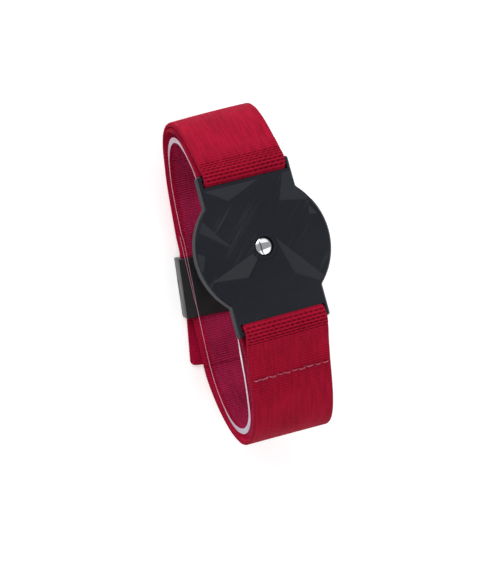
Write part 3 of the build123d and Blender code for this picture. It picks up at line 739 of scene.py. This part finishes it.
# resistor: blue lacquer with plain bands along its axis
res_mat, nt, b = material("resistor_lacquer")
tc = node(nt, "ShaderNodeTexCoord")
sep = node(nt, "ShaderNodeSeparateXYZ")
nt.links.new(tc.outputs["Generated"], sep.inputs[0])
cr = ramp(nt, [(0.0, (0.06, 0.20, 0.30)), (0.22, (0.20, 0.08, 0.03)), (0.30, (0.06, 0.20, 0.30)), (0.42, (0.01, 0.01, 0.01)),
               (0.50, (0.06, 0.20, 0.30)), (0.62, (0.12, 0.35, 0.10)), (0.70, (0.06, 0.20, 0.30)), (0.82, (0.45, 0.30, 0.06)), (0.9, (0.06, 0.20, 0.30))])
cr.color_ramp.interpolation = "CONSTANT"
nt.links.new(sep.outputs["Y"], cr.inputs["Fac"])
nt.links.new(cr.outputs["Color"], b.inputs["Base Color"])
no = node(nt, "ShaderNodeTexNoise", Scale=900.0, Detail=2.0)
nt.links.new(tc.outputs["Object"], no.inputs["Vector"])
bp = node(nt, "ShaderNodeBump", Strength=0.2, Distance=0.00003)
nt.links.new(no.outputs["Fac"], bp.inputs["Height"])
nt.links.new(bp.outputs["Normal"], b.inputs["Normal"])
b.inputs["Roughness"].default_value = 0.25

# clear film: its wide faces show what is behind, its cut edges scatter light, with painted reflection and painted
# highlight in their colour
film_mat, nt, b = material("clear_film")
tc = node(nt, "ShaderNodeTexCoord")
mp = node(nt, "ShaderNodeMapping")
mp.inputs["Scale"].default_value = (140.0, 40.0, 40.0)
nt.links.new(tc.outputs["Object"], mp.inputs["Vector"])
no = node(nt, "ShaderNodeTexNoise", Scale=1.0, Detail=3.0, Roughness=0.6)
nt.links.new(mp.outputs["Vector"], no.inputs["Vector"])
cr = ramp(nt, [(0.3, (0.020, 0.017, 0.022)), (0.7, (0.034, 0.030, 0.038))])
nt.links.new(no.outputs["Fac"], cr.inputs["Fac"])
nt.links.new(cr.outputs["Color"], b.inputs["Base Color"])
bp = node(nt, "ShaderNodeBump", Strength=0.2, Distance=0.00002)
nt.links.new(no.outputs["Fac"], bp.inputs["Height"])
nt.links.new(bp.outputs["Normal"], b.inputs["Normal"])
b.inputs["Roughness"].default_value = 0.09
b.inputs["Alpha"].default_value = 0.02
b.inputs["Specular IOR Level"].default_value = 0.3
b.inputs["IOR"].default_value = 1.5

edge_mat, nt, b = material("film_cut_edge")
tc = node(nt, "ShaderNodeTexCoord")
no = node(nt, "ShaderNodeTexNoise", Scale=420.0, Detail=3.0, Roughness=0.6)
nt.links.new(tc.outputs["Object"], no.inputs["Vector"])
cr = ramp(nt, [(0.3, (0.78, 0.76, 0.78)), (0.65, (1.0, 1.0, 1.0))])
nt.links.new(no.outputs["Fac"], cr.inputs["Fac"])
# the edge colour by place: painted reflection and painted highlight
at = node(nt, "ShaderNodeAttribute", _attribute_name="tint")
mx = node(nt, "ShaderNodeMix", _data_type="RGBA", _blend_type="MULTIPLY")
mx.inputs[0].default_value = 1.0
nt.links.new(at.outputs["Color"], mx.inputs[6])
nt.links.new(cr.outputs["Color"], mx.inputs[7])
nt.links.new(mx.outputs[2], b.inputs["Base Color"])
b.inputs["Roughness"].default_value = 0.3
b.inputs["Alpha"].default_value = 0.92

# ------------------------------------------------------------------ moulded, turned and pressed pieces with broken edges
def refined(name, source, width, segments=2, angle=32.0, crease=30.0):
    """The piece on a CAD node's shape, with its flat faces merged and its sharp edges broken."""
    bm = bmesh.new()
    bm.from_mesh(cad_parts[source].data)
    bmesh.ops.transform(bm, matrix=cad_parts[source].matrix_world, verts=bm.verts)
    bmesh.ops.remove_doubles(bm, verts=bm.verts, dist=2e-7)
    bmesh.ops.dissolve_limit(bm, angle_limit=math.radians(0.4), verts=bm.verts, edges=bm.edges, delimit={"NORMAL"})
    bm.edges.ensure_lookup_table()
    sharp = [e for e in bm.edges if len(e.link_faces) == 2 and e.calc_face_angle(0.0) > math.radians(angle)]
    if sharp:
        bmesh.ops.bevel(bm, geom=sharp, offset=width * MM, offset_type="OFFSET", segments=segments, profile=0.5, affect="EDGES",
                        clamp_overlap=True, loop_slide=False, miter_outer="ARC")
    bmesh.ops.remove_doubles(bm, verts=bm.verts, dist=2e-7)
    me = bpy.data.meshes.new(name)
    bm.to_mesh(me)
    bm.free()
    me.polygons.foreach_set("use_smooth", np.ones(len(me.polygons), bool))
    me.set_sharp_from_angle(angle=math.radians(crease))
    me.update()
    return link(name, me)


HARDWARE = (("moulded_plate", "face_plate", 0.10, "housing"), ("cover_shell", "back_cover", 0.12, "inner_cover"),
            ("skin_disc", "contact_disc", 0.08, "contact_steel"), ("rivet_body", "contact_rivet", 0.05, "contact_steel"),
            ("rivet_tag", "contact_tag", 0.04, "tinned_brass"), ("stud_head", "discharge_stud", 0.08, "polished_stud"),
            ("flat_washer", "stud_washer", 0.05, "zinc_steel"), ("solder_tag", "stud_tag", 0.04, "tinned_brass"),
            ("hex_nut", "stud_nut", 0.07, "zinc_steel"), ("pressed_buckle", "buckle_frame", 0.16, "buckle_black"),
            ("turned_pin", "lever_pin", 0.06, "zinc_steel"), ("pressed_lever", "cam_lever", 0.12, "lever_black"))
hardware = [(refined(a, b, w, crease=4.9 if b == "face_plate" else 30.0), b, c) for a, b, w, c in HARDWARE]
plate_me = hardware[0][0].data
facing = np.zeros(len(plate_me.polygons) * 3)
plate_me.polygons.foreach_get("normal", facing)
facing = facing.reshape(-1, 3) @ np.array(plate_dir(0, 0, 1))
# slot 1 side walls, slot 2 tilted facets: the lighter copies with painted light
slot_of = (np.abs(facing) < 0.6).astype(np.int32)
slot_of[(facing > 0.9) & (facing < 0.9993)] = 2
plate_me.polygons.foreach_set("material_index", slot_of)

# ------------------------------------------------------------------ dress the pieces
for ob, mats in ((upper_run, [webbing_mat]), (lower_run, [webbing_mat]), (upper_thread, [thread_mat]), (lower_thread, [thread_mat]),
                 (buckle_thread, [thread_mat]), (former, [film_mat, edge_mat])):
    for m in mats:
        ob.data.materials.append(m)

cad_mats = {"face_plate": plate_mat, "back_cover": cover_mat, "contact_disc": steel_mat, "contact_rivet": zinc_mat, "contact_tag": brass_mat,
            "discharge_stud": stud_mat, "stud_washer": zinc_mat, "stud_tag": brass_mat, "stud_nut": zinc_mat, "series_resistor": res_mat,
            "resistor_leads": wire_mat, "buckle_frame": buckle_mat, "lever_pin": pin_mat, "cam_lever": lever_mat}
for n, m in cad_mats.items():
    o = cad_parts[n]
    if not o.material_slots:
        o.data.materials.append(m)
    for sl in o.material_slots:
        sl.material = m

for ob, nodes, slot in ((upper_run, ["upper_band"], "webbing"), (lower_run, ["lower_band"], "webbing"),
                        (upper_thread, ["upper_stitching"], "thread"), (lower_thread, ["lower_stitching"], "thread"),
                        (buckle_thread, ["buckle_stitching"], "thread")):
    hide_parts(*nodes)
    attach(ob, "strap")
for ob, source, slot in hardware:
    ob.data.materials.append(cad_mats[source])
    if source == "face_plate":
        ob.data.materials.append(wall_painted_light_mat)
        ob.data.materials.append(facet_painted_light_mat)
    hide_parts(source)
    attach(ob, "lever" if source == "cam_lever" else "strap")
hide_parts("clear_former")
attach(former, "former")
print("webbing lengths (mm)", round(up.length, 1), round(low.length, 1))

# ------------------------------------------------------------------ floor and light
bm = bmesh.new()
bmesh.ops.create_grid(bm, x_segments=8, y_segments=8, size=3.0)
me = bpy.data.meshes.new("floor")
bm.to_mesh(me)
bm.free()
floor = link("floor", me)
fm, nt, b = material("pale_floor")
tc = node(nt, "ShaderNodeTexCoord")
no = node(nt, "ShaderNodeTexNoise", Scale=30.0, Detail=2.0)
nt.links.new(tc.outputs["Object"], no.inputs["Vector"])
cr = ramp(nt, [(0.3, (0.90, 0.90, 0.90)), (0.7, (0.93, 0.93, 0.93))])
nt.links.new(no.outputs["Fac"], cr.inputs["Fac"])
nt.links.new(cr.outputs["Color"], b.inputs["Base Color"])
b.inputs["Roughness"].default_value = 0.9
b.inputs["Specular IOR Level"].default_value = 0.1
b.inputs["Emission Color"].default_value = (1, 1, 1, 1)
b.inputs["Emission Strength"].default_value = 0.45
floor.data.materials.append(fm)


def softbox(name, place, aim, sx, sy, radiance, colour=(1, 1, 1)):
    li = bpy.data.lights.new(name, "AREA")
    li.shape = "RECTANGLE"
    li.size, li.size_y = sx, sy
    li.energy = radiance * math.pi * sx * sy
    li.color = colour
    ob = bpy.data.objects.new(name, li)
    bpy.context.scene.collection.objects.link(ob)
    p = Vector(place)
    ob.location = p
    az = (p - Vector(aim)).normalized()
    ax = (Vector((1, 0, 0)) - az * az.x).normalized()
    ob.rotation_euler = Matrix((ax, az.cross(ax), az)).transposed().to_euler()
    return ob


softbox("key_top", (-0.30, 0.95, 0.80), (0, 0, 0.03), 0.9, 0.7, 3.6)
softbox("overhead_front", (0.35, -0.30, 1.15), (0, 0, 0.03), 1.0, 0.9, 1.15)
softbox("sky_high", (0.25, 0.76, 1.10), (0, 0, 0.03), 1.0, 0.42, 0.9)
softbox("fill_left", (-1.1, -0.25, 0.55), (0, 0, 0.03), 0.8, 0.8, 0.25)

# a narrow dark card over the subject, for the line in the stud's mirror
card_me = bpy.data.meshes.new("card")
card_me.from_pydata([(0.085, -0.62, 1.04), (0.150, -0.62, 1.04), (0.150, 0.62, 1.04), (0.085, 0.62, 1.04)], [], [(0, 3, 2, 1)])
card = link("card", card_me)
km, nt, b = material("card_black")
no = node(nt, "ShaderNodeTexNoise", Scale=12.0, Detail=1.0)
cr = ramp(nt, [(0.3, (0.01, 0.01, 0.012)), (0.7, (0.016, 0.016, 0.018))])
nt.links.new(no.outputs["Fac"], cr.inputs["Fac"])
nt.links.new(cr.outputs["Color"], b.inputs["Base Color"])
card.data.materials.append(km)

world = bpy.data.worlds.new("studio")
bpy.context.scene.world = world
world.use_nodes = True
bg = world.node_tree.nodes["Background"]
bg.inputs["Color"].default_value = (0.98, 0.99, 1.0, 1)
bg.inputs["Strength"].default_value = 0.45

bpy.context.scene.view_settings.view_transform = "Standard"
bpy.context.scene.view_settings.look = "None"
